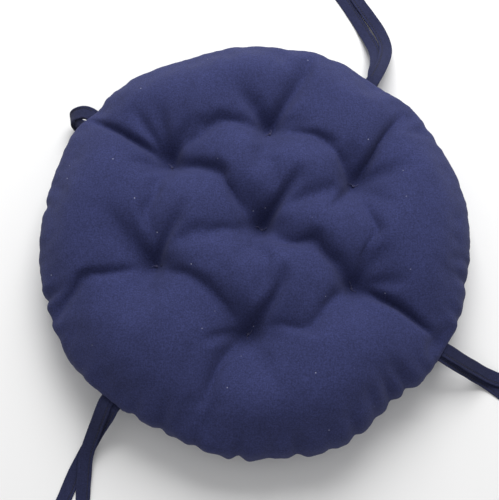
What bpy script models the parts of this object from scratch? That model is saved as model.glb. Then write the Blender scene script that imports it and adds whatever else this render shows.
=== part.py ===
"""Round tufted seat cushion with four pairs of fabric ties, lying on a flat surface.

Metres, +Z up. The origin is on that surface, below the middle of the cushion, and -Y is the front.
Two round fabric panels meet in a knife-edge seam at mid height, around a fibre filling. Seven
threads pull the panels together at the tufts, and each pair of ties is caught in the seam.
"""

import math

import bmesh
import bpy
import numpy as np
from mathutils import Matrix, Vector
from mathutils.geometry import delaunay_2d_cdt

# The cushion
SEAM_RADIUS = 0.200
SEAM_HEIGHT = 0.036
TOP_RISE = 0.053
FABRIC = 0.0008
CLEARANCE = 0.0005

# The seam: both panels turn in and lie face to face, and the ties lie between them
SEAM_GAP = 0.0004
ALLOWANCE = 0.009
INNER_EDGE = 0.0015
SEAM_THREAD_IN = 0.0045
SEAM_THREAD_OUT_OF_PLANE = 0.0023
SEAM_THREAD_RADIUS = 0.00025
CLOSING_MIDDLE = 98.0
CLOSING_SPAN = 34.0
THREAD_END_GAP = 1.0

# The tufts: where each thread goes through, as a radius and an angle from +X
TUFTS = {
    "centre": (0.008, 20),
    "back": (0.099, 81),
    "back_right": (0.103, 26),
    "front_right": (0.102, 329),
    "front": (0.094, 267),
    "front_left": (0.093, 200),
    "back_left": (0.099, 140),
}
TUFT_TOP = 0.046
TUFT_BOTTOM = 0.015
TUFT_PAD = 0.0035
STITCH_LENGTH = 0.0032
TUFT_THREAD_RADIUS = 0.00045
NEEDLE_HOLE = 0.0008
TUNNEL_RADIUS = 0.0028

# The panels' mesh
EDGE_POINTS = 48
FILLING_RADIUS = 0.188
RING_RADII = (0.193, 0.181, 0.165, 0.147, 0.128, 0.109, 0.090, 0.071, 0.052, 0.033, 0.014)
POINT_SPACING = 0.0185
TUFT_RINGS = ((TUFT_PAD, 6), (0.009, 8))
CLEAR_OF_TUFT = 0.0115

# The ties: folded fabric tapes, in pairs
TIE_WIDTH = 0.013
TIE_LENGTH = 0.220
TIE_THICKNESS = 0.0012
TIE_STEP = 0.008
NOTCH_HALF_HEIGHT = 0.0019
NOTCH_REACH = 0.011
NOTCH_SIDE = 0.0005
# Where each pair leaves the seam, and how far apart its two ties are there
TIE_ROOTS = {
    "back_right": (54.0, 0.000),
    "back_left": (141.5, 0.000),
    "front_left": (230.5, 0.007),
    "front_right": (327.5, 0.005),
}
# Each tie's route, from its sewn-in end to its free end
TIE_ROUTES = {
    "back_right_upper": (
        (0.1132, 0.1558, 0.0370), (0.1180, 0.1625, 0.0368), (0.1231, 0.1722, 0.0338),
        (0.1287, 0.1849, 0.0270), (0.1335, 0.1996, 0.0190), (0.1356, 0.2140, 0.0120),
        (0.1338, 0.2275, 0.0070), (0.1288, 0.2413, 0.0038), (0.1200, 0.2575, 0.0028),
        (0.1104, 0.2738, 0.0027), (0.1040, 0.2885, 0.0018), (0.1040, 0.3010, 0.0010),
        (0.1110, 0.3105, 0.0009), (0.1235, 0.3155, 0.0009), (0.1380, 0.3160, 0.0009),
        (0.1525, 0.3130, 0.0009), (0.1665, 0.3075, 0.0009), (0.1800, 0.3010, 0.0009),
    ),
    "back_right_lower": (
        (0.1132, 0.1558, 0.0352), (0.1178, 0.1623, 0.0350), (0.1203, 0.1738, 0.0306),
        (0.1236, 0.1872, 0.0230), (0.1249, 0.2025, 0.0140), (0.1225, 0.2181, 0.0070),
        (0.1152, 0.2374, 0.0022), (0.1057, 0.2567, 0.0010), (0.0957, 0.2745, 0.0009),
        (0.0862, 0.2880, 0.0009), (0.0740, 0.2990, 0.0009), (0.0590, 0.3062, 0.0009),
        (0.0425, 0.3090, 0.0009), (0.0260, 0.3075, 0.0009), (0.0105, 0.3022, 0.0009),
        (-0.0040, 0.2950, 0.0009), (-0.0180, 0.2870, 0.0009),
    ),
    "back_left_upper": (
        (-0.1496, 0.1190, 0.0370), (-0.1569, 0.1248, 0.0370), (-0.1645, 0.1282, 0.0356),
        (-0.1740, 0.1286, 0.0302), (-0.1800, 0.1280, 0.0212), (-0.1800, 0.1276, 0.0112),
        (-0.1735, 0.1276, 0.0032), (-0.1640, 0.1284, 0.0010), (-0.1530, 0.1310, 0.0009),
        (-0.1390, 0.1370, 0.0009), (-0.1220, 0.1455, 0.0009), (-0.1030, 0.1530, 0.0009),
        (-0.0810, 0.1600, 0.0009), (-0.0580, 0.1670, 0.0009), (-0.0340, 0.1715, 0.0009),
        (-0.0140, 0.1735, 0.0009), (0.0070, 0.1745, 0.0009), (0.0280, 0.1730, 0.0009),
    ),
    "back_left_lower": (
        (-0.1496, 0.1190, 0.0352), (-0.1569, 0.1248, 0.0350), (-0.1638, 0.1278, 0.0332),
        (-0.1712, 0.1280, 0.0282), (-0.1757, 0.1276, 0.0206), (-0.1755, 0.1272, 0.0128),
        (-0.1700, 0.1270, 0.0062), (-0.1610, 0.1276, 0.0034), (-0.1500, 0.1300, 0.0028),
        (-0.1370, 0.1355, 0.0028), (-0.1210, 0.1440, 0.0028), (-0.1020, 0.1520, 0.0028),
        (-0.0800, 0.1610, 0.0028), (-0.0570, 0.1690, 0.0028), (-0.0340, 0.1740, 0.0028),
        (-0.0130, 0.1765, 0.0028), (0.0080, 0.1775, 0.0028), (0.0290, 0.1765, 0.0028),
    ),
    "front_left_upper": (
        (-0.1248, -0.1459, 0.0370), (-0.1295, -0.1520, 0.0368), (-0.1335, -0.1606, 0.0325),
        (-0.1379, -0.1694, 0.0255), (-0.1427, -0.1790, 0.0172), (-0.1470, -0.1888, 0.0106),
        (-0.1496, -0.1990, 0.0066), (-0.1506, -0.2101, 0.0040), (-0.1511, -0.2213, 0.0027),
        (-0.1513, -0.2323, 0.0014), (-0.1508, -0.2440, 0.0009), (-0.1445, -0.2556, 0.0009),
        (-0.1320, -0.2640, 0.0009), (-0.1160, -0.2675, 0.0009), (-0.0990, -0.2665, 0.0009),
        (-0.0830, -0.2620, 0.0009), (-0.0680, -0.2560, 0.0009), (-0.0530, -0.2520, 0.0009),
    ),
    "front_left_lower": (
        (-0.1194, -0.1504, 0.0352), (-0.1240, -0.1562, 0.0348), (-0.1281, -0.1622, 0.0292),
        (-0.1350, -0.1706, 0.0208), (-0.1418, -0.1794, 0.0126), (-0.1484, -0.1895, 0.0064),
        (-0.1545, -0.1997, 0.0026), (-0.1596, -0.2100, 0.0010), (-0.1638, -0.2212, 0.0009),
        (-0.1676, -0.2315, 0.0009), (-0.1740, -0.2430, 0.0009), (-0.1875, -0.2525, 0.0009),
        (-0.2035, -0.2570, 0.0009), (-0.2200, -0.2555, 0.0009), (-0.2350, -0.2490, 0.0009),
        (-0.2470, -0.2375, 0.0009), (-0.2545, -0.2225, 0.0009), (-0.2570, -0.2060, 0.0009),
    ),
    "front_right_upper": (
        (0.1633, -0.1011, 0.0370), (0.1700, -0.1054, 0.0368), (0.1804, -0.1106, 0.0325),
        (0.1910, -0.1150, 0.0250), (0.2019, -0.1190, 0.0160), (0.2107, -0.1222, 0.0092),
        (0.2180, -0.1247, 0.0052), (0.2247, -0.1268, 0.0036), (0.2342, -0.1284, 0.0027),
        (0.2480, -0.1258, 0.0012), (0.2605, -0.1180, 0.0009), (0.2695, -0.1055, 0.0009),
        (0.2745, -0.0905, 0.0009), (0.2760, -0.0750, 0.0009), (0.2740, -0.0595, 0.0009),
        (0.2700, -0.0450, 0.0009), (0.2655, -0.0310, 0.0009), (0.2620, -0.0165, 0.0009),
        (0.2610, -0.0015, 0.0009),
    ),
    "front_right_lower": (
        (0.1606, -0.1053, 0.0352), (0.1673, -0.1096, 0.0348), (0.1785, -0.1152, 0.0288),
        (0.1894, -0.1196, 0.0203), (0.2008, -0.1238, 0.0106), (0.2106, -0.1276, 0.0044),
        (0.2183, -0.1320, 0.0016), (0.2254, -0.1370, 0.0009), (0.2332, -0.1432, 0.0009),
        (0.2420, -0.1525, 0.0009), (0.2485, -0.1650, 0.0009), (0.2515, -0.1795, 0.0009),
        (0.2515, -0.1945, 0.0009), (0.2490, -0.2090, 0.0009), (0.2445, -0.2230, 0.0009),
        (0.2385, -0.2365, 0.0009), (0.2310, -0.2490, 0.0009), (0.2220, -0.2600, 0.0009),
    ),
}


def polar(radius, degrees):
    angle = math.radians(degrees)
    return Vector((radius * math.cos(angle), radius * math.sin(angle)))


def tuft_places():
    return {name: polar(*place) for name, place in TUFTS.items()}


# Shapes of the panels, as heights above and depths below the seam


def pull(point, reach, cut_off):
    """How strongly the tufts hold a panel at a point: 1 at a thread, and 0 far from all of them."""
    nearest = min((point - place).length for place in tuft_places().values())
    beyond_pad = max(0.0, nearest - TUFT_PAD)
    strength = math.exp(-((beyond_pad / reach) ** 1.1))
    return max(0.0, (strength - cut_off) / (1 - cut_off))


def top_height(point):
    share = min(1.0, point.length / SEAM_RADIUS)
    puffed = TOP_RISE * (1 - share**2.4) ** 0.55
    held = pull(point, 0.030, 0.0)
    return puffed + held * (TUFT_TOP - SEAM_HEIGHT - puffed)


def bottom_depth(point):
    """The panel's lobes are pressed flat on the surface below, except at the tufts."""
    share = min(1.0, point.length / SEAM_RADIUS)
    pressed_flat = SEAM_HEIGHT - SEAM_GAP / 2
    rounded = min(pressed_flat, 1.4 * SEAM_HEIGHT * (1 - share**3) ** 0.6)
    held = pull(point, 0.018, 0.10)
    return rounded + held * (SEAM_HEIGHT - TUFT_BOTTOM - rounded)


def wall(height_at, point):
    """The fabric's thickness measured upright, which grows with the panel's slope."""
    step = 0.001
    along_x = height_at(point + Vector((step, 0))) - height_at(point - Vector((step, 0)))
    along_y = height_at(point + Vector((0, step))) - height_at(point - Vector((0, step)))
    slope = math.hypot(along_x, along_y) / (2 * step)
    return FABRIC * min(2.0, math.hypot(1, slope))


# Meshes


def new_object(name, data, material=None, parent=None):
    made = bpy.data.objects.new(name, data)
    bpy.context.scene.collection.objects.link(made)
    if material:
        data.materials.append(material)
    made.parent = parent
    return made


def mesh_object(name, bm, material=None, parent=None):
    bmesh.ops.recalc_face_normals(bm, faces=bm.faces)
    mesh = bpy.data.meshes.new(name)
    bm.to_mesh(mesh)
    bm.free()
    return new_object(name, mesh, material, parent)


def panel_triangles(edge_radius, ring_radii):
    """Points over a round panel and the triangles between them. The first points are its edge."""
    points = [polar(edge_radius, 360 * i / EDGE_POINTS) for i in range(EDGE_POINTS)]
    tufts = tuft_places().values()
    for radius in ring_radii:
        fine = radius > FILLING_RADIUS - 0.01
        count = EDGE_POINTS if fine else round(math.tau * radius / POINT_SPACING)
        ring = [polar(radius, 360 * i / count) for i in range(count)]
        points += [p for p in ring if all((p - t).length > CLEAR_OF_TUFT for t in tufts)]
    for tuft in tufts:
        points.append(tuft)
        for radius, count in TUFT_RINGS:
            points += [tuft + polar(radius, 360 * i / count) for i in range(count)]
    found = delaunay_2d_cdt(points, [], [], 0, 1e-7)
    return found[0], found[2]


def bridge(bm, first, second):
    """Joins two rings of as many vertices with a band of faces."""
    for i in range(len(first)):
        j = (i + 1) % len(first)
        bm.faces.new((first[i], first[j], second[j], second[i]))


def cover(name, height_at, side, material, parent):
    """A panel's shell with its turned-in seam allowance. Side is 1 above the seam, -1 below it."""
    points, triangles = panel_triangles(SEAM_RADIUS, RING_RADII)
    lower, upper = SEAM_GAP / 2, SEAM_GAP / 2 + FABRIC
    bm = bmesh.new()
    outside, inside = [], []
    for i, p in enumerate(points):
        if i < EDGE_POINTS:
            outside.append(bm.verts.new((*p, side * lower)))
            inside.append(bm.verts.new((*p * (1 - INNER_EDGE / SEAM_RADIUS), side * upper)))
        else:
            height = lower + height_at(p)
            outside.append(bm.verts.new((*p, side * height)))
            inside.append(bm.verts.new((*p, side * (height - wall(height_at, p)))))
    for triangle in triangles:
        bm.faces.new([outside[i] for i in triangle])
        bm.faces.new([inside[i] for i in reversed(triangle)])
    share = 1 - ALLOWANCE / SEAM_RADIUS
    hem_lower = [bm.verts.new((*p * share, side * lower)) for p in points[:EDGE_POINTS]]
    hem_upper = [bm.verts.new((*p * share, side * upper)) for p in points[:EDGE_POINTS]]
    bridge(bm, outside[:EDGE_POINTS], hem_lower)
    bridge(bm, hem_lower, hem_upper)
    bridge(bm, hem_upper, inside[:EDGE_POINTS])
    made = mesh_object(name, bm, material, parent)
    made.location.z = SEAM_HEIGHT
    made.data.shade_smooth()
    made.data.set_sharp_from_angle(angle=math.radians(50))
    return made


def filling(material, parent):
    """The fibre, which fills both panels up to the seam allowance."""
    rings = [radius for radius in RING_RADII if radius < FILLING_RADIUS]
    points, triangles = panel_triangles(FILLING_RADIUS, rings)
    bm = bmesh.new()
    faces_of = []
    for height_at, side in ((top_height, 1), (bottom_depth, -1)):
        surface = []
        for i, p in enumerate(points):
            # The edge is kept as low as the panel a little further out
            at = p * (RING_RADII[0] / FILLING_RADIUS) if i < EDGE_POINTS else p
            height = SEAM_GAP / 2 + height_at(at) - wall(height_at, at) - CLEARANCE
            surface.append(bm.verts.new((*p, side * height)))
        for triangle in triangles:
            bm.faces.new([surface[i] for i in triangle])
        faces_of.append(surface)
    bridge(bm, faces_of[0][:EDGE_POINTS], faces_of[1][:EDGE_POINTS])
    made = mesh_object("fibre_filling", bm, material, parent)
    made.location.z = SEAM_HEIGHT
    made.data.shade_smooth()
    made.data.set_sharp_from_angle(angle=math.radians(50))
    return made


# Cutters


def cutter(name, bm):
    made = mesh_object(name, bm)
    made.hide_render = True
    made.display_type = "WIRE"
    return made


def upright_holes(name, places, radius):
    """One upright prism through the whole cushion at each place."""
    bm = bmesh.new()
    for place in places:
        middle = Matrix.Translation((*place, SEAM_HEIGHT + TOP_RISE / 4))
        bmesh.ops.create_cone(
            bm,
            cap_ends=True,
            segments=8,
            radius1=radius,
            radius2=radius,
            depth=2 * TOP_RISE,
            matrix=middle,
        )
    return cutter(name, bm)


def tie_notches():
    """One block in the seam at each pair of ties."""
    bm = bmesh.new()
    for degrees, spread in TIE_ROOTS.values():
        size = (NOTCH_REACH + 0.002, TIE_WIDTH + spread + 2 * NOTCH_SIDE, 2 * NOTCH_HALF_HEIGHT)
        middle = SEAM_RADIUS + 0.002 - size[0] / 2
        turned = Matrix.Rotation(math.radians(degrees), 4, "Z")
        placed = turned @ Matrix.Translation((middle, 0, SEAM_HEIGHT)) @ Matrix.Diagonal((*size, 1))
        bmesh.ops.create_cube(bm, size=1, matrix=placed)
    return cutter("tie_notches", bm)


def cut(target, tool):
    modifier = target.modifiers.new(tool.name, "BOOLEAN")
    modifier.operation = "DIFFERENCE"
    modifier.object = tool


# Threads


def thread(name, points, radius, material, parent, closed=False):
    """A round thread through its points."""
    curve = bpy.data.curves.new(name, "CURVE")
    curve.dimensions = "3D"
    curve.bevel_depth = radius
    curve.bevel_resolution = 1
    curve.use_fill_caps = not closed
    spline = curve.splines.new("POLY")
    spline.points.add(len(points) - 1)
    for target, point in zip(spline.points, points):
        target.co = (*point, 1)
    spline.use_cyclic_u = closed
    return new_object(name, curve, material, parent)


def tuft_direction(name):
    """Which way a tuft's stitch lies: across the line from the cushion's middle."""
    return TUFTS[name][1] + 90


def tuft_thread(name, material, parent):
    """A closed loop: a stitch on each panel and two strands through the filling."""
    off_fabric = TUFT_THREAD_RADIUS + CLEARANCE
    top, bottom = TUFT_TOP + off_fabric, TUFT_BOTTOM - off_fabric
    half, bend = STITCH_LENGTH / 2, 0.0006
    loop = [
        Vector((-half, 0, bottom + bend)),
        Vector((-half, 0, top - bend)),
        Vector((-half + bend, 0, top)),
        Vector((half - bend, 0, top)),
        Vector((half, 0, top - bend)),
        Vector((half, 0, bottom + bend)),
        Vector((half - bend, 0, bottom)),
        Vector((-half + bend, 0, bottom)),
    ]
    made = thread(f"tuft_thread_{name}", loop, TUFT_THREAD_RADIUS, material, parent, closed=True)
    made.location = (*polar(*TUFTS[name]), 0)
    made.rotation_euler.z = math.radians(tuft_direction(name))
    return made


def needle_places():
    """The two holes of each tuft."""
    places = []
    for name in TUFTS:
        for end in (-1, 1):
            places.append(polar(*TUFTS[name]) + polar(end * STITCH_LENGTH / 2, tuft_direction(name)))
    return places


def seam_thread(name, start, end, side, material, parent):
    """An arc of the seam's thread, on the inner side of a panel's seam allowance."""
    radius = SEAM_RADIUS - SEAM_THREAD_IN
    height = SEAM_HEIGHT + side * SEAM_THREAD_OUT_OF_PLANE
    step = 360 / EDGE_POINTS
    between = [k * step for k in range(math.ceil(start / step), math.floor(end / step) + 1)]
    angles = sorted({start, end, *between})
    points = [Vector((*polar(radius, angle), height)) for angle in angles]
    return thread(name, points, SEAM_THREAD_RADIUS, material, parent)


# Ties


def smooth_route(points, step):
    """Points a step apart along a Catmull-Rom curve through the given ones, up to a tie's length."""
    given = np.array(points)
    ends = np.vstack([2 * given[0] - given[1], given, 2 * given[-1] - given[-2]])
    line = []
    for a, b, c, d in zip(ends, ends[1:], ends[2:], ends[3:]):
        for t in np.linspace(0, 1, 16, endpoint=False):
            linear, square, cube = c - a, 2 * a - 5 * b + 4 * c - d, 3 * b - a - 3 * c + d
            line.append(b + 0.5 * (linear * t + square * t**2 + cube * t**3))
    line = np.array([*line, given[-1]])
    along = np.concatenate([[0], np.cumsum(np.linalg.norm(np.diff(line, axis=0), axis=1))])
    at = np.linspace(0, TIE_LENGTH, round(TIE_LENGTH / step) + 1)
    return [Vector(np.array([np.interp(s, along, line[:, k]) for k in range(3)])) for s in at]


def widthwise(route):
    """The level direction across a tie at each point of its route."""
    across = []
    for i in range(len(route)):
        ahead = route[min(i + 1, len(route) - 1)] - route[max(i - 1, 0)]
        level = ahead.normalized().cross(Vector((0, 0, 1)))
        if across and level.length < 0.35:
            level = across[-1]
        level = level.normalized()
        across.append(-level if across and level.dot(across[-1]) < 0 else level)
    return across


def tie(name, material, parent):
    """A flat tape along its route."""
    route = smooth_route(TIE_ROUTES[name], TIE_STEP)
    bm = bmesh.new()
    rings = []
    for i, (point, across) in enumerate(zip(route, widthwise(route))):
        ahead = (route[min(i + 1, len(route) - 1)] - route[max(i - 1, 0)]).normalized()
        up = across.cross(ahead).normalized()
        half_width, half_thickness = across * TIE_WIDTH / 2, up * TIE_THICKNESS / 2
        corners = (
            half_width + half_thickness,
            half_thickness - half_width,
            -half_width - half_thickness,
            half_width - half_thickness,
        )
        rings.append([bm.verts.new(point + corner) for corner in corners])
    for first, second in zip(rings, rings[1:]):
        bridge(bm, first, second)
    bm.faces.new(rings[0])
    bm.faces.new(rings[-1])
    return mesh_object(f"tie_{name}", bm, material, parent)


# Materials


def material(name, colour, roughness):
    made = bpy.data.materials.new(name)
    made.use_nodes = True
    surface = made.node_tree.nodes["Principled BSDF"]
    surface.inputs["Base Color"].default_value = (*colour, 1)
    surface.inputs["Roughness"].default_value = roughness
    surface.inputs["Metallic"].default_value = 0.0
    return made


def main():
    for old in list(bpy.data.objects):
        bpy.data.objects.remove(old)
    cushion = new_object("cushion", None)
    navy_fabric = material("cover_fabric", (0.050, 0.052, 0.145), 0.9)
    navy_tape = material("tie_fabric", (0.034, 0.036, 0.100), 0.9)
    navy_thread = material("thread", (0.040, 0.042, 0.110), 0.6)
    white_fibre = material("fibre", (0.85, 0.85, 0.82), 0.95)

    panels = [
        cover("top_cover", top_height, 1, navy_fabric, cushion),
        cover("bottom_cover", bottom_depth, -1, navy_fabric, cushion),
    ]
    fibre = filling(white_fibre, cushion)
    needle_holes = upright_holes("needle_holes", needle_places(), NEEDLE_HOLE)
    notches = tie_notches()
    for panel in panels:
        cut(panel, needle_holes)
        cut(panel, notches)
    cut(fibre, upright_holes("thread_tunnels", tuft_places().values(), TUNNEL_RADIUS))

    for name in TUFTS:
        tuft_thread(name, navy_thread, cushion)
    opening_start = CLOSING_MIDDLE - CLOSING_SPAN / 2
    opening_end = CLOSING_MIDDLE + CLOSING_SPAN / 2
    sewn = (opening_end + THREAD_END_GAP, opening_start - THREAD_END_GAP + 360)
    seam_thread("seam_needle_thread", *sewn, 1, navy_thread, cushion)
    seam_thread("seam_bobbin_thread", *sewn, -1, navy_thread, cushion)
    seam_thread("closing_thread", opening_start, opening_end, 1, navy_thread, cushion)
    for name in TIE_ROUTES:
        tie(name, navy_tape, cushion)


main()
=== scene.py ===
"""The looks of the round tufted seat cushion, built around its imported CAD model."""

import math

import bmesh
import bpy
import numpy as np
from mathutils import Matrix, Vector
from mathutils.geometry import delaunay_2d_cdt


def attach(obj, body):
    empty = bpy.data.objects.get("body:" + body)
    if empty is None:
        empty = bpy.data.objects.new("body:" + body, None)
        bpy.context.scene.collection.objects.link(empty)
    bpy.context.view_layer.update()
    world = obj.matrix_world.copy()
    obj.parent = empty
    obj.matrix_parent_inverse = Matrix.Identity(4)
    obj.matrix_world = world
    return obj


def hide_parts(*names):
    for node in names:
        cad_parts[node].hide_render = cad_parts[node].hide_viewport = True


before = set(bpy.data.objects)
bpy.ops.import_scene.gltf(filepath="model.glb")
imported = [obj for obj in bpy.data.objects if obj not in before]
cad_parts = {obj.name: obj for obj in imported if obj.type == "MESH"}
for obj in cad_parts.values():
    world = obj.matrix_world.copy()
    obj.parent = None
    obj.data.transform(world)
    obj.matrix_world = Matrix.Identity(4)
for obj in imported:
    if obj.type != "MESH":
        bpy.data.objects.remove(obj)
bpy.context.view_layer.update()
scene = bpy.context.scene

# Camera

CAMERA_PLACE = Vector((-0.0037, -0.2482, 0.8004))
CAMERA_TARGET = Vector((-0.0037, -0.0123, 0.0360))

lens = bpy.data.cameras.new("camera")
lens.lens = 62.47
lens.clip_start = 0.01
camera = bpy.data.objects.new("camera", lens)
scene.collection.objects.link(camera)
camera.location = CAMERA_PLACE
camera.rotation_euler = (CAMERA_TARGET - CAMERA_PLACE).to_track_quat("-Z", "Y").to_euler()
scene.camera = camera

# Materials

ALONG_X, ALONG_Y = (1.0, 0.07, 0.3), (0.07, 1.0, 0.3)


def new_material(name, roughness):
    made = bpy.data.materials.new(name)
    made.use_nodes = True
    nodes, links = made.node_tree.nodes, made.node_tree.links
    surface = nodes["Principled BSDF"]
    surface.inputs["Roughness"].default_value = roughness
    return made, nodes, links, surface


def noise_field(nodes, links, place, scale, detail=2.0, stretch=(1.0, 1.0, 1.0)):
    """Noise from 0 to 1, whose grains are longer where the stretch is smaller."""
    mapping = nodes.new("ShaderNodeMapping")
    mapping.inputs["Scale"].default_value = stretch
    links.new(place, mapping.inputs["Vector"])
    field = nodes.new("ShaderNodeTexNoise")
    field.inputs["Scale"].default_value = scale
    field.inputs["Detail"].default_value = detail
    links.new(mapping.outputs["Vector"], field.inputs["Vector"])
    return field.outputs["Fac"]


def remap(nodes, links, value, low, high, to_low, to_high):
    made = nodes.new("ShaderNodeMapRange")
    limits = {"From Min": low, "From Max": high, "To Min": to_low, "To Max": to_high}
    for socket, limit in limits.items():
        made.inputs[socket].default_value = limit
    links.new(value, made.inputs["Value"])
    return made.outputs["Result"]


def calculate(nodes, links, operation, one, other):
    made = nodes.new("ShaderNodeMath")
    made.operation = operation
    for socket, value in zip(made.inputs, (one, other)):
        if isinstance(value, (int, float)):
            socket.default_value = value
        else:
            links.new(value, socket)
    return made.outputs["Value"]


def stripes(nodes, links, place, direction, spacing):
    """Bands of light and dark across a direction, one for each thread of a weave."""
    made = nodes.new("ShaderNodeTexWave")
    made.bands_direction = direction
    made.inputs["Scale"].default_value = math.tau / (20 * spacing)
    made.inputs["Distortion"].default_value = 0.6
    made.inputs["Detail"].default_value = 1.0
    made.inputs["Detail Scale"].default_value = 0.02
    links.new(place, made.inputs["Vector"])
    return made.outputs["Fac"]


def cotton(name, base, lint, thread_spacing):
    """Plain-woven cotton: uneven threads both ways, faded patches and specks of pale lint."""
    made, nodes, links, surface = new_material(name, 0.92)
    surface.inputs["Specular IOR Level"].default_value = 0.15
    surface.inputs["Sheen Weight"].default_value = 0.03
    surface.inputs["Sheen Roughness"].default_value = 0.5
    place = nodes.new("ShaderNodeTexCoord").outputs["Object"]
    warp = noise_field(nodes, links, place, 1300, 2.0, ALONG_X)
    weft = noise_field(nodes, links, place, 1300, 2.0, ALONG_Y)
    threads = calculate(nodes, links, "ADD", warp, weft)
    patches = noise_field(nodes, links, place, 38, 4.0)
    grain = noise_field(nodes, links, place, 750, 2.0)
    bright = calculate(
        nodes,
        links,
        "MULTIPLY",
        remap(nodes, links, threads, 0.7, 1.3, 0.90, 1.10),
        remap(nodes, links, patches, 0.3, 0.7, 0.93, 1.07),
    )
    bright = calculate(
        nodes, links, "MULTIPLY", bright, remap(nodes, links, grain, 0.3, 0.7, 0.72, 1.28)
    )
    shade = nodes.new("ShaderNodeMix")
    shade.data_type = "RGBA"
    shade.blend_type = "MULTIPLY"
    shade.inputs["Factor"].default_value = 1.0
    shade.inputs["A"].default_value = (*base, 1)
    links.new(bright, shade.inputs["B"])
    specks = nodes.new("ShaderNodeTexVoronoi")
    specks.inputs["Scale"].default_value = 95
    links.new(place, specks.inputs["Vector"])
    chosen = nodes.new("ShaderNodeSeparateColor")
    links.new(specks.outputs["Color"], chosen.inputs["Color"])
    speck = calculate(
        nodes,
        links,
        "MULTIPLY",
        remap(nodes, links, specks.outputs["Distance"], 0.03, 0.07, 1.0, 0.0),
        remap(nodes, links, chosen.outputs["Red"], 0.80, 0.86, 0.0, lint),
    )
    colour = nodes.new("ShaderNodeMix")
    colour.data_type = "RGBA"
    links.new(speck, colour.inputs["Factor"])
    links.new(shade.outputs["Result"], colour.inputs["A"])
    colour.inputs["B"].default_value = (0.30, 0.31, 0.42, 1)
    links.new(colour.outputs["Result"], surface.inputs["Base Color"])
    over = stripes(nodes, links, place, "X", thread_spacing)
    under = stripes(nodes, links, place, "Y", thread_spacing)
    weave = calculate(nodes, links, "MULTIPLY", over, under)
    relief = calculate(nodes, links, "ADD", weave, threads)
    bump = nodes.new("ShaderNodeBump")
    bump.inputs["Strength"].default_value = 0.35
    bump.inputs["Distance"].default_value = 0.0004
    links.new(relief, bump.inputs["Height"])
    links.new(bump.outputs["Normal"], surface.inputs["Normal"])
    return made


def sewing_thread(name, base):
    """Spun thread, with its twist as fine bands."""
    made, nodes, links, surface = new_material(name, 0.7)
    surface.inputs["Sheen Weight"].default_value = 0.05
    place = nodes.new("ShaderNodeTexCoord").outputs["Object"]
    twist = stripes(nodes, links, place, "DIAGONAL", 0.0006)
    shade = nodes.new("ShaderNodeMix")
    shade.data_type = "RGBA"
    links.new(twist, shade.inputs["Factor"])
    shade.inputs["A"].default_value = (*(0.7 * c for c in base), 1)
    shade.inputs["B"].default_value = (*(1.25 * c for c in base), 1)
    links.new(shade.outputs["Result"], surface.inputs["Base Color"])
    bump = nodes.new("ShaderNodeBump")
    bump.inputs["Strength"].default_value = 0.4
    bump.inputs["Distance"].default_value = 0.0002
    links.new(twist, bump.inputs["Height"])
    links.new(bump.outputs["Normal"], surface.inputs["Normal"])
    return made


def loose_fibre(name):
    """White fibre, tangled in short strands."""
    made, nodes, links, surface = new_material(name, 0.95)
    surface.inputs["Sheen Weight"].default_value = 0.4
    place = nodes.new("ShaderNodeTexCoord").outputs["Object"]
    strands = noise_field(nodes, links, place, 260, 5.0, (1.0, 0.25, 1.0))
    ramp = nodes.new("ShaderNodeValToRGB")
    ramp.color_ramp.elements[0].position = 0.3
    ramp.color_ramp.elements[0].color = (0.66, 0.66, 0.62, 1)
    ramp.color_ramp.elements[1].position = 0.7
    ramp.color_ramp.elements[1].color = (0.88, 0.88, 0.85, 1)
    links.new(strands, ramp.inputs["Fac"])
    links.new(ramp.outputs["Color"], surface.inputs["Base Color"])
    bump = nodes.new("ShaderNodeBump")
    bump.inputs["Strength"].default_value = 0.8
    bump.inputs["Distance"].default_value = 0.001
    links.new(strands, bump.inputs["Height"])
    links.new(bump.outputs["Normal"], surface.inputs["Normal"])
    return made


cover_fabric = cotton("cover_cotton", (0.0282, 0.0333, 0.1007), 0.8, 0.0007)
tie_fabric = cotton("tie_cotton", (0.019, 0.022, 0.058), 0.5, 0.0007)
navy_thread = sewing_thread("navy_thread", (0.050, 0.052, 0.130))
# Tie thread: partly its own dark navy, partly painted shade. It is darker than the thread would be, so
# the stitched groove along each tie reads as a dark shadow line. The closing stitches use it too.
tie_thread = sewing_thread("tie_thread", (0.010, 0.011, 0.032))
white_fibre = loose_fibre("white_fibre")

# Shared making


def polar(radius, degrees):
    angle = math.radians(degrees)
    return np.array((radius * math.cos(angle), radius * math.sin(angle)))


def place_piece(name, mesh, slot, *nodes):
    """A piece that rides with the cushion and stands for its CAD nodes."""
    made = bpy.data.objects.new(name, mesh)
    scene.collection.objects.link(made)
    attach(made, "root")
    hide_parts(*nodes)
    return made


def finished(bm, name, *materials):
    bmesh.ops.recalc_face_normals(bm, faces=bm.faces)
    mesh = bpy.data.meshes.new(name)
    bm.to_mesh(mesh)
    bm.free()
    for material in materials:
        mesh.materials.append(material)
    mesh.shade_smooth()
    return mesh


def bridge(bm, first, second, material=0):
    for i in range(len(first)):
        j = (i + 1) % len(first)
        bm.faces.new((first[i], first[j], second[j], second[i])).material_index = material


def tube(bm, path, radius, sides=6, material=0):
    """A closed round thread along a path, with its frame carried along without twisting."""
    path = [Vector(p) for p in path]
    side = None
    rings = []
    for i, p in enumerate(path):
        ahead = (path[min(i + 1, len(path) - 1)] - path[max(i - 1, 0)]).normalized()
        if side is None:
            side = ahead.orthogonal().normalized()
        side = (side - ahead * side.dot(ahead)).normalized()
        other = ahead.cross(side)
        size = radius * (0.6 if i in (0, len(path) - 1) else 1)
        ring = []
        for k in range(sides):
            angle = math.tau * k / sides
            ring.append(bm.verts.new(p + size * (math.cos(angle) * side + math.sin(angle) * other)))
        rings.append(ring)
    for first, second in zip(rings, rings[1:]):
        bridge(bm, first, second, material)
    bm.faces.new(rings[0]).material_index = material
    bm.faces.new(rings[-1]).material_index = material


# Ties: the CAD model's routes

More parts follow.
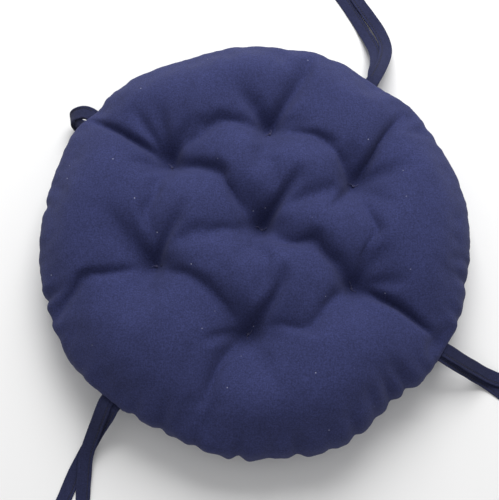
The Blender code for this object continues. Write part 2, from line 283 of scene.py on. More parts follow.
TIE_WIDTH = 0.013
TIE_LENGTH = 0.220
TIE_STEP = 0.0025
SEWN_IN = 0.0075
EDGE_THICKNESS = 0.00045
STITCH_LINE = 0.0035
STITCH_PITCH = 0.0030
STITCH_LENGTH = 0.0025
STITCH_RADIUS = 0.00038
HEM = 0.008
HEM_THICKER = 1.35
FLOOR_GAP = 0.0001
# How uneven a tape is, at its edges in metres, and over its faces as a share of its thickness
EDGE_WAVE = 0.00022
FACE_WAVE = 0.35
# Each tie's route, from its sewn-in end to its free end
TIE_ROUTES = {
    "back_right_upper": (
        (0.1132, 0.1558, 0.0370), (0.1180, 0.1625, 0.0368), (0.1231, 0.1722, 0.0338),
        (0.1287, 0.1849, 0.0270), (0.1335, 0.1996, 0.0190), (0.1356, 0.2140, 0.0120),
        (0.1338, 0.2275, 0.0070), (0.1288, 0.2413, 0.0038), (0.1200, 0.2575, 0.0028),
        (0.1104, 0.2738, 0.0027), (0.1040, 0.2885, 0.0018), (0.1040, 0.3010, 0.0010),
        (0.1110, 0.3105, 0.0009), (0.1235, 0.3155, 0.0009), (0.1380, 0.3160, 0.0009),
        (0.1525, 0.3130, 0.0009), (0.1665, 0.3075, 0.0009), (0.1800, 0.3010, 0.0009),
    ),
    "back_right_lower": (
        (0.1132, 0.1558, 0.0352), (0.1178, 0.1623, 0.0350), (0.1203, 0.1738, 0.0306),
        (0.1236, 0.1872, 0.0230), (0.1249, 0.2025, 0.0140), (0.1225, 0.2181, 0.0070),
        (0.1152, 0.2374, 0.0022), (0.1057, 0.2567, 0.0010), (0.0957, 0.2745, 0.0009),
        (0.0862, 0.2880, 0.0009), (0.0740, 0.2990, 0.0009), (0.0590, 0.3062, 0.0009),
        (0.0425, 0.3090, 0.0009), (0.0260, 0.3075, 0.0009), (0.0105, 0.3022, 0.0009),
        (-0.0040, 0.2950, 0.0009), (-0.0180, 0.2870, 0.0009),
    ),
    "back_left_upper": (
        (-0.1496, 0.1190, 0.0370), (-0.1569, 0.1248, 0.0370), (-0.1645, 0.1282, 0.0356),
        (-0.1740, 0.1286, 0.0302), (-0.1800, 0.1280, 0.0212), (-0.1800, 0.1276, 0.0112),
        (-0.1735, 0.1276, 0.0032), (-0.1640, 0.1284, 0.0010), (-0.1530, 0.1310, 0.0009),
        (-0.1390, 0.1370, 0.0009), (-0.1220, 0.1455, 0.0009), (-0.1030, 0.1530, 0.0009),
        (-0.0810, 0.1600, 0.0009), (-0.0580, 0.1670, 0.0009), (-0.0340, 0.1715, 0.0009),
        (-0.0140, 0.1735, 0.0009), (0.0070, 0.1745, 0.0009), (0.0280, 0.1730, 0.0009),
    ),
    "back_left_lower": (
        (-0.1496, 0.1190, 0.0352), (-0.1569, 0.1248, 0.0350), (-0.1638, 0.1278, 0.0332),
        (-0.1712, 0.1280, 0.0282), (-0.1757, 0.1276, 0.0206), (-0.1755, 0.1272, 0.0128),
        (-0.1700, 0.1270, 0.0062), (-0.1610, 0.1276, 0.0034), (-0.1500, 0.1300, 0.0028),
        (-0.1370, 0.1355, 0.0028), (-0.1210, 0.1440, 0.0028), (-0.1020, 0.1520, 0.0028),
        (-0.0800, 0.1610, 0.0028), (-0.0570, 0.1690, 0.0028), (-0.0340, 0.1740, 0.0028),
        (-0.0130, 0.1765, 0.0028), (0.0080, 0.1775, 0.0028), (0.0290, 0.1765, 0.0028),
    ),
    "front_left_upper": (
        (-0.1248, -0.1459, 0.0370), (-0.1295, -0.1520, 0.0368), (-0.1335, -0.1606, 0.0325),
        (-0.1379, -0.1694, 0.0255), (-0.1427, -0.1790, 0.0172), (-0.1470, -0.1888, 0.0106),
        (-0.1496, -0.1990, 0.0066), (-0.1506, -0.2101, 0.0040), (-0.1511, -0.2213, 0.0027),
        (-0.1513, -0.2323, 0.0014), (-0.1508, -0.2440, 0.0009), (-0.1445, -0.2556, 0.0009),
        (-0.1320, -0.2640, 0.0009), (-0.1160, -0.2675, 0.0009), (-0.0990, -0.2665, 0.0009),
        (-0.0830, -0.2620, 0.0009), (-0.0680, -0.2560, 0.0009), (-0.0530, -0.2520, 0.0009),
    ),
    "front_left_lower": (
        (-0.1194, -0.1504, 0.0352), (-0.1240, -0.1562, 0.0348), (-0.1281, -0.1622, 0.0292),
        (-0.1350, -0.1706, 0.0208), (-0.1418, -0.1794, 0.0126), (-0.1484, -0.1895, 0.0064),
        (-0.1545, -0.1997, 0.0026), (-0.1596, -0.2100, 0.0010), (-0.1638, -0.2212, 0.0009),
        (-0.1676, -0.2315, 0.0009), (-0.1740, -0.2430, 0.0009), (-0.1875, -0.2525, 0.0009),
        (-0.2035, -0.2570, 0.0009), (-0.2200, -0.2555, 0.0009), (-0.2350, -0.2490, 0.0009),
        (-0.2470, -0.2375, 0.0009), (-0.2545, -0.2225, 0.0009), (-0.2570, -0.2060, 0.0009),
    ),
    "front_right_upper": (
        (0.1633, -0.1011, 0.0370), (0.1700, -0.1054, 0.0368), (0.1804, -0.1106, 0.0325),
        (0.1910, -0.1150, 0.0250), (0.2019, -0.1190, 0.0160), (0.2107, -0.1222, 0.0092),
        (0.2180, -0.1247, 0.0052), (0.2247, -0.1268, 0.0036), (0.2342, -0.1284, 0.0027),
        (0.2480, -0.1258, 0.0012), (0.2605, -0.1180, 0.0009), (0.2695, -0.1055, 0.0009),
        (0.2745, -0.0905, 0.0009), (0.2760, -0.0750, 0.0009), (0.2740, -0.0595, 0.0009),
        (0.2700, -0.0450, 0.0009), (0.2655, -0.0310, 0.0009), (0.2620, -0.0165, 0.0009),
        (0.2610, -0.0015, 0.0009),
    ),
    "front_right_lower": (
        (0.1606, -0.1053, 0.0352), (0.1673, -0.1096, 0.0348), (0.1785, -0.1152, 0.0288),
        (0.1894, -0.1196, 0.0203), (0.2008, -0.1238, 0.0106), (0.2106, -0.1276, 0.0044),
        (0.2183, -0.1320, 0.0016), (0.2254, -0.1370, 0.0009), (0.2332, -0.1432, 0.0009),
        (0.2420, -0.1525, 0.0009), (0.2485, -0.1650, 0.0009), (0.2515, -0.1795, 0.0009),
        (0.2515, -0.1945, 0.0009), (0.2490, -0.2090, 0.0009), (0.2445, -0.2230, 0.0009),
        (0.2385, -0.2365, 0.0009), (0.2310, -0.2490, 0.0009), (0.2220, -0.2600, 0.0009),
    ),
}
# On which side of each tie its sewn edge lies, looking along it from the seam
SEWN_SIDE = {
    "back_right_upper": -1,
    "back_right_lower": 1,
    "back_left_upper": 1,
    "back_left_lower": 1,
    "front_left_upper": -1,
    "front_left_lower": -1,
    "front_right_upper": 1,
    "front_right_lower": 1,
}
# Half a tape's section, seen from its end: how far across, and how thick, as shares
SECTION = (
    (-1.00, 0.00),
    (-0.985, 0.60),
    (-0.93, 1.05),
    (-0.80, 1.10),
    (-0.50, 0.90),
    (-0.15, 0.84),
    (0.20, 0.90),
    (0.36, 1.02),
    (0.43, 0.75),
    (0.48, 0.25),
    (0.60, 0.25),
    (0.65, 0.85),
    (0.71, 1.25),
    (0.82, 1.42),
    (0.93, 1.20),
    (0.985, 0.70),
    (1.00, 0.00),
)


def smooth_route(points, step):
    """Points a step apart along a Catmull-Rom curve through the given ones, up to a tie's length."""
    given = np.array(points)
    ends = np.vstack([2 * given[0] - given[1], given, 2 * given[-1] - given[-2]])
    line = []
    for a, b, c, d in zip(ends, ends[1:], ends[2:], ends[3:]):
        for t in np.linspace(0, 1, 16, endpoint=False):
            linear, square, cube = c - a, 2 * a - 5 * b + 4 * c - d, 3 * b - a - 3 * c + d
            line.append(b + 0.5 * (linear * t + square * t**2 + cube * t**3))
    line = np.array([*line, given[-1]])
    along = np.concatenate([[0], np.cumsum(np.linalg.norm(np.diff(line, axis=0), axis=1))])
    at = np.linspace(0, TIE_LENGTH, round(TIE_LENGTH / step) + 1)
    return np.array([[np.interp(s, along, line[:, k]) for k in range(3)] for s in at])


def route_frames(route):
    """The level direction across a tie and the direction off its face, at each point."""
    across, up = [], []
    for i in range(len(route)):
        ahead = Vector(route[min(i + 1, len(route) - 1)] - route[max(i - 1, 0)]).normalized()
        level = ahead.cross(Vector((0, 0, 1)))
        if across and level.length < 0.35:
            level = across[-1].copy()
        level.normalize()
        if across and level.dot(across[-1]) < 0:
            level.negate()
        across.append(level)
        up.append(level.cross(ahead).normalized())
    return np.array(across), np.array(up)


def tape(name, route, sewn_side, seed):
    """A folded tape with a stitched edge: a groove along it, with a stitch every few millimetres."""
    across, up = route_frames(route)
    outline = list(SECTION) + [(share, -thick) for share, thick in reversed(SECTION[1:-1])]
    uneven = np.random.default_rng(seed).normal(0, 1, (4, len(route) + 4))
    uneven = np.array([np.convolve(row, (0.15, 0.2, 0.3, 0.2, 0.15), "valid") for row in uneven])
    bm = bmesh.new()
    rings = []
    for i, (p, a, u) in enumerate(zip(route, across, up)):
        hem = HEM_THICKER if (len(route) - 1 - i) * TIE_STEP < HEM else 1.0
        end = 0.55 if i == len(route) - 1 else 1.0
        ring = []
        for share, thick in outline:
            half = TIE_WIDTH / 2 + EDGE_WAVE * uneven[0 if share > 0 else 1, i]
            lift = EDGE_THICKNESS * thick * hem * end
            if abs(thick) > 0.5:
                lift *= 1 + FACE_WAVE * uneven[2 if share < 0 else 3, i]
            ring.append(bm.verts.new(Vector(p + a * sewn_side * share * half + u * lift)))
        rings.append(ring)
    for first, second in zip(rings, rings[1:]):
        bridge(bm, first, second)
    bm.faces.new(rings[0])
    bm.faces.new(rings[-1])
    add_tie_stitches(bm, route, across * sewn_side, up)
    for corner in bm.verts:
        corner.co.z = max(corner.co.z, FLOOR_GAP)
    return finished(bm, name, tie_fabric, tie_thread)


def add_tie_stitches(bm, route, across, up):
    """Running stitches in the groove, on both faces, and a row across the hem."""
    along = np.arange(len(route)) * TIE_STEP

    def at(distance, sideways, lift):
        p, a, u = (
            np.array([np.interp(distance, along, line[:, k]) for k in range(3)])
            for line in (route, across, up)
        )
        return p + a * sideways + u * lift

    for face in (1, -1):
        start = SEWN_IN + 0.003
        while start < TIE_LENGTH - 0.003:
            bends = ((0, 0.1), (0.15, 0.55), (0.5, 0.75), (0.85, 0.55), (1, 0.1))
            path = [
                at(start + STITCH_LENGTH * share, STITCH_LINE, face * EDGE_THICKNESS * height)
                for share, height in bends
            ]
            # These stitches carry the tie thread's dark colour, which also paints the shade of the
            # groove they lie in
            tube(bm, path, STITCH_RADIUS, 5, 1)
            start += STITCH_PITCH
    for k in range(-3, 4):
        path = [
            at(TIE_LENGTH - HEM + 0.001, 0.0017 * k + s, EDGE_THICKNESS * 1.5 * h)
            for s, h in ((-0.0006, 0.4), (-0.0003, 1), (0.0003, 1), (0.0006, 0.4))
        ]
        tube(bm, path, STITCH_RADIUS, 5, 1)


for seed, (name, given) in enumerate(TIE_ROUTES.items()):
    route = smooth_route(given, TIE_STEP)
    mesh = tape(f"tape_{name}", route, SEWN_SIDE[name], seed)
    tie = place_piece(f"tape_{name}", mesh, "tie_fabric", f"tie_{name}")

# The cushion's cover

SEAM_RADIUS = 0.200
SEAM_HEIGHT = 0.036
SPACING = 0.0036
# The cover starts smaller than it ends, because it swells
START_RADIUS = 0.1965
START_RISE = 0.039
TUFT_TOP = 0.0458
TUFT_BOTTOM = 0.0152
TUFTS = {
    "centre": (0.008, 20),
    "back": (0.099, 81),
    "back_right": (0.103, 26),
    "front_right": (0.102, 329),
    "front": (0.094, 267),
    "front_left": (0.093, 200),
    "back_left": (0.099, 140),
}
TUFT_AT = {name: polar(*place) for name, place in TUFTS.items()}
TIE_ANGLES = (54.0, 141.5, 230.5, 327.5)
# How wide the hollow round a tuft is on each side, and how wide a valley between tufts
TOP_HOLLOW = 0.012
BOTTOM_HOLLOW = 0.020
VALLEY_WIDTH = 0.016
TUFT_HELD = 0.003
TIE_HELD = 2.4
# How firmly folds and valleys are held while the rest swells
FOLD_GRIP = 0.48
VALLEY_GRIP = 0.3
GRIP_WIDTH = 0.0035
DEEP_FOLD = 0.018
DEEP_VALLEY = 0.020
FOLD_FADE = 0.35
# Folds are full depth above this rise, add to a hollow less than they would alone, and end above a floor
FULL_FOLD_RISE = 0.03
FOLD_OVERLAP = 0.35
DEEPEST_DROP = 0.6
GATHER_BAND = 0.006

# The cloth
SWELL = -0.12
PRESSURE = 200
STIFFNESS = 15
BENDING = 2
FRAMES = 30

# After the cloth: how often and how much it is softened, and how far in the lobes lean
SOFTENINGS = 2
SOFTENING = 0.6
LEAN = 0.060
LEAN_HEIGHT = 0.034
LEAN_FROM = 0.085
# Where the rim starts to be stretched to the seam's radius, and over what width
GROW_FROM = 0.11
GROW_WIDTH = 0.08
# The seam's groove, the gap to the surface below, and the rounding where the underside lies flat
SEAM_GROOVE = 0.0009
COVER_GAP = 0.0003
FLAT_ROUNDING = 0.003
# The seam isn't a true circle: direction, share of the radius and width of each bulge or dent
OUTLINE = (
    (5, 0.022, 14),
    (50, -0.020, 14),
    (80, -0.024, 14),
    (110, -0.022, 10),
    (140, -0.020, 6),
    (203, -0.022, 12),
    (247, -0.034, 16),
    (291, 0.034, 10),
    (311, -0.028, 7),
)
# Puckers along the gathered seam: direction, depth and how far in each one runs
PUCKER_WIDTH = 0.0042
# The swell on both sides of a pucker: its distance in pucker widths, and its height as a share
SWELL_DISTANCE = 2.2
SWELL_SHARE = 0.3
PUCKER_RISE = 0.9
PUCKERS = (
    (172, 0.0016, 0.012),
    (184, 0.0009, 0.010),
    (198, 0.0030, 0.018),
    (209, 0.0009, 0.010),
    (220, 0.0012, 0.012),
    (237, 0.0019, 0.016),
    (245, 0.0025, 0.020),
    (255, 0.0016, 0.014),
    (266, 0.0032, 0.024),
    (274, 0.0012, 0.010),
    (281, 0.0033, 0.018),
    (289, 0.0018, 0.016),
    (296, 0.0030, 0.020),
    (303, 0.0019, 0.018),
    (309, 0.0025, 0.020),
    (314, 0.0030, 0.022),
    (320, 0.0016, 0.014),
    (337, 0.0014, 0.012),
    (347, 0.0027, 0.016),
    (356, 0.0010, 0.010),
    (5, 0.0012, 0.010),
    (14, 0.0008, 0.008),
)

# Folds in the top, in the order tuft, plan points outwards, depth at both ends and width
FOLDS = (
    ("back_left", ((-0.125, 0.095), (-0.160, 0.115)), 0.018, 0.005, 0.0042),
    ("back_left", ((-0.110, 0.120),), 0.016, 0.001, 0.0045),
    ("back_left", ((-0.085, 0.125),), 0.016, 0.001, 0.0045),
    ("back_left", ((-0.040, 0.120),), 0.016, 0.001, 0.006),
    ("back", ((-0.020, 0.135),), 0.018, 0.001, 0.005),
    ("back", ((-0.040, 0.100),), 0.010, 0.002, 0.008),
    ("back", ((0.045, 0.150),), 0.017, 0.001, 0.006),
    ("back_right", ((0.125, 0.095), (0.140, 0.120)), 0.020, 0.002, 0.005),
    ("back_right", ((0.135, 0.055),), 0.010, 0.001, 0.007),
    ("back_right", ((0.065, 0.010),), 0.015, 0.003, 0.007),
    ("front_right", ((0.118, -0.010),), 0.013, 0.001, 0.007),
    ("front_right", ((0.125, -0.072), (0.168, -0.105)), 0.018, 0.006, 0.0042),
    ("front_right", ((0.135, -0.047),), 0.010, 0.001, 0.006),
    ("centre", ((0.026, 0.027), (0.043, 0.054)), 0.020, 0.003, 0.006),
    ("front", ((0.019, -0.063), (0.035, -0.027)), 0.019, 0.003, 0.006),
    ("front", ((-0.025, -0.116), (-0.045, -0.160)), 0.016, 0.004, 0.0042),
    ("front_left", ((-0.132, 0.014),), 0.014, 0.001, 0.009),
    ("front_left", ((-0.120, -0.042), (-0.145, -0.045), (-0.174, -0.080)), 0.006, 0.002, 0.005),
    ("front_left", ((-0.067, 0.000), (-0.056, 0.023)), 0.012, 0.002, 0.007),
)
# Valleys between neighbouring tufts, with the points they bend through and their depth
VALLEYS = (
    ("back_left", "back", ((-0.030, 0.098),), 0.011),
    ("back", "back_right", ((0.047, 0.087), (0.072, 0.072)), 0.012),
    ("back_right", "front_right", ((0.104, -0.004),), 0.011),
    ("front_right", "front", ((0.044, -0.086),), 0.013),
    ("front", "front_left", ((-0.022, -0.073), (-0.047, -0.050)), 0.013),
    ("front_left", "back_left", ((-0.092, 0.010),), 0.010),
    ("centre", "back_left", ((-0.006, 0.016), (-0.029, 0.044), (-0.052, 0.054)), 0.014),
    ("centre", "front_right", ((0.028, -0.013), (0.051, -0.018)), 0.014),
    ("centre", "front_left", ((-0.040, -0.010),), 0.007),
    ("centre", "back", ((0.010, 0.050),), 0.007),
    ("centre", "front", ((0.004, -0.048),), 0.007),
    ("centre", "back_right", ((0.050, 0.026),), 0.007),
)


def distance_along(points, line):
    """Each point's distance from a polyline, and how far along it the nearest spot is, from 0 to 1."""
    line = np.array(line)
    steps = np.linalg.norm(np.diff(line, axis=0), axis=1)
    before = np.concatenate([[0], np.cumsum(steps)])
    best = np.full(len(points), 1e9)
    share = np.zeros(len(points))
    for i, (a, b) in enumerate(zip(line, line[1:])):
        t = np.clip(((points - a) @ (b - a)) / ((b - a) @ (b - a)), 0, 1)
        d = np.linalg.norm(points - (a + t[:, None] * (b - a)), axis=1)
        nearer = d < best
        best[nearer] = d[nearer]
        share[nearer] = (before[i] + t[nearer] * steps[i]) / before[-1]
    return best, share


def tuft_distance(points):
    """Each plan point's distance from the nearest tuft."""
    return np.min([np.linalg.norm(points - at, axis=1) for at in TUFT_AT.values()], axis=0)


def hollows(points, reach):
    """How far down the tufts draw a panel: 1 at a tuft, and 0 far from all of them."""
    beyond = np.maximum(0, tuft_distance(points) - TUFT_HELD)
    return np.exp(-((beyond / reach) ** 1.1))


def top_start(points):
    """The top's height before it swells, and how firmly each point is held."""
    share = np.minimum(1, np.linalg.norm(points, axis=1) / START_RADIUS)
    puffed = START_RISE * (1 - share**2.4) ** 0.55
    to_tuft = puffed - (TUFT_TOP - SEAM_HEIGHT)
    drop = hollows(points, TOP_HOLLOW) * to_tuft
    grip = np.zeros(len(points))
    for tuft, line, first, last, width in FOLDS:
        d, t = distance_along(points, [TUFT_AT[tuft], *line])
        depth = (first + (last - first) * t) * np.minimum(1, puffed / FULL_FOLD_RISE)
        shape = np.exp(-((d / width) ** 1.4)) * np.clip((1.02 - t) / FOLD_FADE, 0, 1)
        drop = np.maximum(drop, 0) + np.maximum(0, depth * shape - FOLD_OVERLAP * drop)
        firm = FOLD_GRIP * min(1, first / DEEP_FOLD) * (1 - 0.9 * t)
        held = firm * np.exp(-((d / GRIP_WIDTH) ** 2))
        grip = np.maximum(grip, held)
    for one, other, line, middle in VALLEYS:
        d, t = distance_along(points, [TUFT_AT[one], *line, TUFT_AT[other]])
        drop = np.maximum(drop, middle * np.exp(-((d / VALLEY_WIDTH) ** 1.6)))
        held = VALLEY_GRIP * np.exp(-((d / GRIP_WIDTH) ** 2)) * (middle / DEEP_VALLEY)
        grip = np.maximum(grip, held)
    drop = np.minimum(drop, np.maximum(to_tuft, DEEPEST_DROP * puffed))
    return SEAM_HEIGHT + puffed - drop, grip


def bottom_start(points):
    """The bottom's height before it swells."""
    share = np.minimum(1, np.linalg.norm(points, axis=1) / START_RADIUS)
    rounded = np.minimum(SEAM_HEIGHT, 1.4 * SEAM_HEIGHT * (1 - share**3) ** 0.6)
    held = hollows(points, BOTTOM_HOLLOW)
    return SEAM_HEIGHT - rounded + held * (TUFT_BOTTOM - SEAM_HEIGHT + rounded)


def round_panel(edge_radius, spacing, fixed=()):
    """Plan points over a disc, the edge's first, and the triangles between them."""
    count = round(math.tau * edge_radius / spacing)
    points = [polar(edge_radius, 360 * i / count) for i in range(count)] + list(fixed)
    rows = int(edge_radius / (spacing * math.sqrt(3) / 2)) + 1
    across = int(edge_radius / spacing) + 1
    for j in range(-rows, rows + 1):
        for i in range(-across, across + 1):
            p = np.array(((i + 0.5 * (j % 2)) * spacing, j * spacing * math.sqrt(3) / 2))
            clear = all(np.linalg.norm(p - at) > 0.55 * spacing for at in fixed)
            if np.linalg.norm(p) < edge_radius - 0.6 * spacing and clear:
                points.append(p)
    found = delaunay_2d_cdt([Vector(p) for p in points], [], [], 0, 1e-7)
    return np.array([tuple(v) for v in found[0]]), found[2], count


def cover_start():
    """The cover's points and faces: the top panel, then the bottom panel inside its edge."""
    plan, triangles, edge = round_panel(START_RADIUS, SPACING, TUFT_AT.values())
    top, grip = top_start(plan)
    inner = plan[edge:]
    points = np.vstack([np.column_stack([plan, top]), np.column_stack([inner, bottom_start(inner)])])
    points[:edge, 2] = SEAM_HEIGHT
    below = [i if i < edge else i + len(inner) for i in range(len(plan))]
    faces = [tuple(t) for t in triangles] + [tuple(below[i] for i in reversed(t)) for t in triangles]
    held = np.concatenate([grip, np.zeros(len(inner))])
    held[tuft_distance(points[:, :2]) < TUFT_HELD] = 1
    for i in range(edge):
        angle = math.degrees(math.atan2(plan[i][1], plan[i][0])) % 360
        if min(abs(angle - a) for a in TIE_ANGLES) < TIE_HELD:
            held[i] = 1
    return points, faces, held, edge, len(plan)


def weight_group(made, name, weights):
    group = made.vertex_groups.new(name=name)
    for i in np.nonzero(weights > 0.02)[0]:
        group.add([int(i)], float(weights[i]), "REPLACE")
    return group.name


def inflate(made, points, held):
    """Blows the cover up with Blender's cloth. The seam is gathered, so the rim puckers."""
    inside = START_RADIUS - np.linalg.norm(points[:, :2], axis=1)
    cloth = made.modifiers.new("cloth", "CLOTH")
    cloth.collision_settings.use_collision = False
    cloth.collision_settings.use_self_collision = False
    cloth.point_cache.frame_start = 1
    cloth.point_cache.frame_end = FRAMES
    settings = cloth.settings
    settings.vertex_group_mass = weight_group(made, "held", held)
    settings.pin_stiffness = 1.0
    settings.vertex_group_shrink = weight_group(
        made, "gathered", np.clip(1 - inside / GATHER_BAND, 0, 1)
    )
    settings.shrink_min = SWELL
    settings.shrink_max = 0.0
    settings.quality = 6
    settings.mass = 0.05
    settings.air_damping = 1
    settings.tension_stiffness = STIFFNESS
    settings.compression_stiffness = STIFFNESS
    settings.shear_stiffness = STIFFNESS / 3
    settings.bending_stiffness = BENDING
    settings.tension_damping = 5
    settings.compression_damping = 5
    settings.shear_damping = 5
    settings.bending_damping = 0.5
    settings.use_pressure = True
    settings.uniform_pressure_force = PRESSURE
    settings.effector_weights.gravity = 0
    for step in range(1, FRAMES + 1):
        scene.frame_set(step)
    evaluated = made.evaluated_get(bpy.context.evaluated_depsgraph_get())
    moved = np.empty(len(points) * 3, np.float32)
    evaluated.data.vertices.foreach_get("co", moved)
    made.modifiers.clear()
    return moved.reshape(-1, 3).astype(float)


def soften(points, faces, amount):
    """Moves every point towards the middle of its neighbours."""
    corners = np.array(faces)
    pairs = np.vstack([corners[:, [0, 1]], corners[:, [1, 2]], corners[:, [2, 0]]])
    total = np.zeros_like(points)
    count = np.zeros(len(points))
    for one, other in ((0, 1), (1, 0)):
        np.add.at(total, pairs[:, one], points[pairs[:, other]])
        np.add.at(count, pairs[:, one], 1)
    return points + amount * (total / count[:, None] - points)


def smooth_step(share):
    """Eases from 0 to 1."""
    share = np.clip(share, 0, 1)
    return share**2 * (3 - 2 * share)


def settle(points, faces, edge):
    """Softens the cover, rests it on the surface below, shapes its rim and puckers its seam."""
    for _ in range(SOFTENINGS):
        points = soften(points, faces, SOFTENING)
    z = points[:, 2]
    points[:, 2] = COVER_GAP + 0.5 * (z + np.sqrt(z**2 + FLAT_ROUNDING**2))
    radius = np.linalg.norm(points[:, :2], axis=1)
    wanted = SEAM_RADIUS / radius[:edge].mean()
    grown = radius * (1 + (wanted - 1) * smooth_step((radius - GROW_FROM) / GROW_WIDTH))
    high = smooth_step((points[:, 2] - SEAM_HEIGHT) / LEAN_HEIGHT)
    outer = smooth_step((radius - LEAN_FROM) / (SEAM_RADIUS - LEAN_FROM))
    angle = np.degrees(np.arctan2(points[:, 1], points[:, 0]))
    uneven = np.zeros(len(points))
    for degrees, share, width in OUTLINE:
        uneven += share * np.exp(-((((angle - degrees + 180) % 360 - 180) / width) ** 2))
    reached = grown * (1 - LEAN * high * outer) * (1 + uneven * outer)
    rise = np.zeros(len(points))
    for degrees, depth, length in PUCKERS:
        aside = np.radians((angle - degrees + 180) % 360 - 180) * reached
        inward = np.maximum(0, SEAM_RADIUS * (1 + uneven) - reached) / length
        fade = np.exp(-(inward**2))
        crease = np.exp(-((aside / PUCKER_WIDTH) ** 2)) * fade
        swell = np.exp(-((np.abs(aside) / PUCKER_WIDTH - SWELL_DISTANCE) ** 2)) * fade
        pucker = depth * (crease - SWELL_SHARE * swell)
        reached -= pucker
        rise -= PUCKER_RISE * pucker * np.sign(points[:, 2] - SEAM_HEIGHT)
    points[:, :2] *= (reached / np.maximum(radius, 1e-9))[:, None]
    points[edge:, 2] = np.maximum(points[edge:, 2] + rise[edge:], COVER_GAP)
    points[:edge, :2] *= 1 - SEAM_GROOVE / SEAM_RADIUS
    return points


cover_points, cover_faces, held, edge, top_count = cover_start()
cover_mesh = bpy.data.meshes.new("cushion_cover")
cover_mesh.from_pydata(cover_points.tolist(), [], cover_faces)
cover_mesh.materials.append(cover_fabric)
cover_mesh.shade_smooth()
cover = place_piece("cushion_cover", cover_mesh, "cover_fabric", "top_cover", "bottom_cover")
cover_points = settle(inflate(cover, cover_points, held), cover_faces, edge)
cover_mesh.vertices.foreach_set("co", cover_points.astype(np.float32).ravel())
cover_mesh.update()
finer = cover.modifiers.new("finer", "SUBSURF")
finer.levels = finer.render_levels = 1

top_points, bottom_points = cover_points[:top_count], cover_points[top_count:]

# The fibre, which fills the cover a little way in from it

FIBRE_RADIUS = 0.181
FIBRE_SPACING = 0.0075
FIBRE_REACH = 0.0075
FIBRE_GAP = 0.0015


def fibre_mesh():
    plan, triangles, count = round_panel(FIBRE_RADIUS, FIBRE_SPACING)
    above, below = [], []
    for p in plan:
        near_top = np.linalg.norm(top_points[:, :2] - p, axis=1) < FIBRE_REACH
        near_bottom = np.linalg.norm(bottom_points[:, :2] - p, axis=1) < FIBRE_REACH
        low = bottom_points[near_bottom, 2].max() + FIBRE_GAP
        above.append(max(top_points[near_top, 2].min() - FIBRE_GAP, low + 2 * FIBRE_GAP))
        below.append(low)
    bm = bmesh.new()
    upper = [bm.verts.new((*p, z)) for p, z in zip(plan, above)]
    lower = [bm.verts.new((*p, z)) for p, z in zip(plan, below)]
    for triangle in triangles:
        bm.faces.new([upper[i] for i in triangle])
        bm.faces.new([lower[i] for i in reversed(triangle)])
    bridge(bm, upper[:count], lower[:count])
    return finished(bm, "fibre", white_fibre)


place_piece("fibre", fibre_mesh(), "fibre", "fibre_filling")

# The seam's threads, which follow the seam where the cover has puckered it

SEAM_THREAD_IN = 0.0045
SEAM_THREAD_RADIUS = 0.00025
LOCKSTITCH = 0.003
CLOSING_MIDDLE = 98.0
CLOSING_SPAN = 34.0
CLOSING_STITCH = 0.0045
CLOSING_REACH = 0.0006
CLOSING_RISE = 0.0013


def seam_at(degrees):
    """The seam's radius and height in a direction from the middle."""
    ring = cover_points[:edge]
    angles = np.degrees(np.arctan2(ring[:, 1], ring[:, 0])) % 360
    order = np.argsort(angles)
    radii = np.linalg.norm(ring[:, :2], axis=1)
    return (
        np.interp(degrees % 360, angles[order], radii[order], period=360),
        np.interp(degrees % 360, angles[order], ring[order, 2], period=360),
    )


def lockstitch(name, side):
    """One thread of the seam: it lies along its own side and dips to the other at each stitch."""
    start = CLOSING_MIDDLE + CLOSING_SPAN / 2
    length = math.radians(360 - CLOSING_SPAN) * SEAM_RADIUS
    stitches = round(length / LOCKSTITCH)
    path = []
    for i in range(4 * stitches + 1):
        degrees = start + (360 - CLOSING_SPAN) * i / (4 * stitches)
        radius, height = seam_at(degrees)
        lift = side * (0.0004 + 0.0005 * abs(math.sin(math.pi * i / 4)))
        path.append((*polar(radius - SEAM_THREAD_IN, degrees), height + lift))
    bm = bmesh.new()
    tube(bm, path, SEAM_THREAD_RADIUS, 5)
    return finished(bm, name, navy_thread)


def closing_stitches():
    """Hand stitches over the edge, where the cover was closed after it was filled."""
    turns = round(math.radians(CLOSING_SPAN) * SEAM_RADIUS / CLOSING_STITCH)
    path = []
    for i in range(10 * turns + 1):
        degrees = CLOSING_MIDDLE + CLOSING_SPAN * (i / (10 * turns) - 0.5)
        radius, height = seam_at(degrees)
        phase = math.tau * i / 10
        out = CLOSING_REACH * math.cos(phase)
        path.append((*polar(radius + out, degrees), height + CLOSING_RISE * math.sin(phase)))
    bm = bmesh.new()
    tube(bm, path, SEAM_THREAD_RADIUS, 6)
    return finished(bm, "closing_stitches", tie_thread)


place_piece("needle_thread", lockstitch("needle_thread", 1), "thread", "seam_needle_thread")
place_piece("bobbin_thread", lockstitch("bobbin_thread", -1), "thread", "seam_bobbin_thread")
place_piece("closing_stitches", closing_stitches(), "thread", "closing_thread")

# The tufts' threads

TUFT_STITCH = 0.0032
TUFT_THREAD_RADIUS = 0.0004
STITCH_LIFT = 0.0009


def tuft_height(points, at):
    """A panel's height at a tuft."""
    return points[np.argmin(np.linalg.norm(points[:, :2] - at, axis=1)), 2]


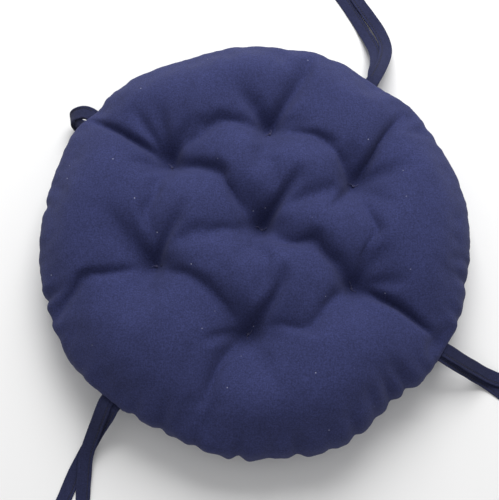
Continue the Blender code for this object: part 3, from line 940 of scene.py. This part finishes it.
def tuft_thread(name):
    """Two crossing stitches on each panel, the strands between them, a knot and its loose ends."""
    at = TUFT_AT[name]
    high = tuft_height(top_points, at) + STITCH_LIFT
    low = tuft_height(bottom_points, at) - STITCH_LIFT
    direction = TUFTS[name][1] + 90
    bm = bmesh.new()
    for turn, lift in ((0, 0.0), (62, 0.0006)):
        path = []
        for share in (-1, -0.6, 0, 0.6, 1):
            end = at + polar(share * TUFT_STITCH / 2, direction + turn)
            path.append((*end, high + lift - 0.0008 * share**4))
        for share in (1, 0.6, 0, -0.6, -1):
            end = at + polar(share * TUFT_STITCH / 2, direction + turn)
            path.append((*end, low - lift + 0.0008 * share**4))
        tube(bm, path, TUFT_THREAD_RADIUS)
    knot = []
    for i in range(25):
        angle = math.tau * i / 8
        ring = 0.00075 + 0.00015 * math.sin(2.3 * angle)
        place = at + polar(ring, direction + math.degrees(angle))
        knot.append((*place, high + 0.0009 + 0.00035 * math.sin(1.5 * angle)))
    tube(bm, knot, 0.00035)
    for end, length in ((direction + 20, 0.0055), (direction + 230, 0.0042)):
        path = []
        for i in range(6):
            share = i / 5
            place = at + polar(0.0006 + length * share, end + 40 * share)
            surface = tuft_height(top_points, place)
            path.append((*place, max(high + 0.0008, surface + 0.0008)))
        tube(bm, path, 0.0003)
    return finished(bm, f"tuft_{name}", navy_thread)


for name in TUFTS:
    place_piece(f"tuft_{name}", tuft_thread(name), "thread", f"tuft_thread_{name}")

# Floor and light

floor_mesh = bpy.data.meshes.new("floor")
floor_mesh.from_pydata([(-4, -4, 0), (4, -4, 0), (4, 4, 0), (-4, 4, 0)], [], [(0, 1, 2, 3)])
floor = bpy.data.objects.new("floor", floor_mesh)
scene.collection.objects.link(floor)
floor_paint, *_, floor_surface = new_material("floor_paint", 0.9)
floor_surface.inputs["Base Color"].default_value = (0.8, 0.8, 0.8, 1)
floor_mesh.materials.append(floor_paint)

world = bpy.data.worlds.new("studio")
world.use_nodes = True
world.node_tree.nodes["Background"].inputs["Color"].default_value = (1, 1, 1, 1)
world.node_tree.nodes["Background"].inputs["Strength"].default_value = 0.55
scene.world = world


def lamp(name, place, target, size, power):
    data = bpy.data.lights.new(name, "AREA")
    data.size = size
    data.energy = power
    made = bpy.data.objects.new(name, data)
    scene.collection.objects.link(made)
    made.location = place
    made.rotation_euler = (Vector(target) - Vector(place)).to_track_quat("-Z", "Y").to_euler()


lamp("key", (0.12, 1.10, 1.15), (0, 0, 0.05), 1.1, 30)

scene.view_settings.view_transform = "Standard"
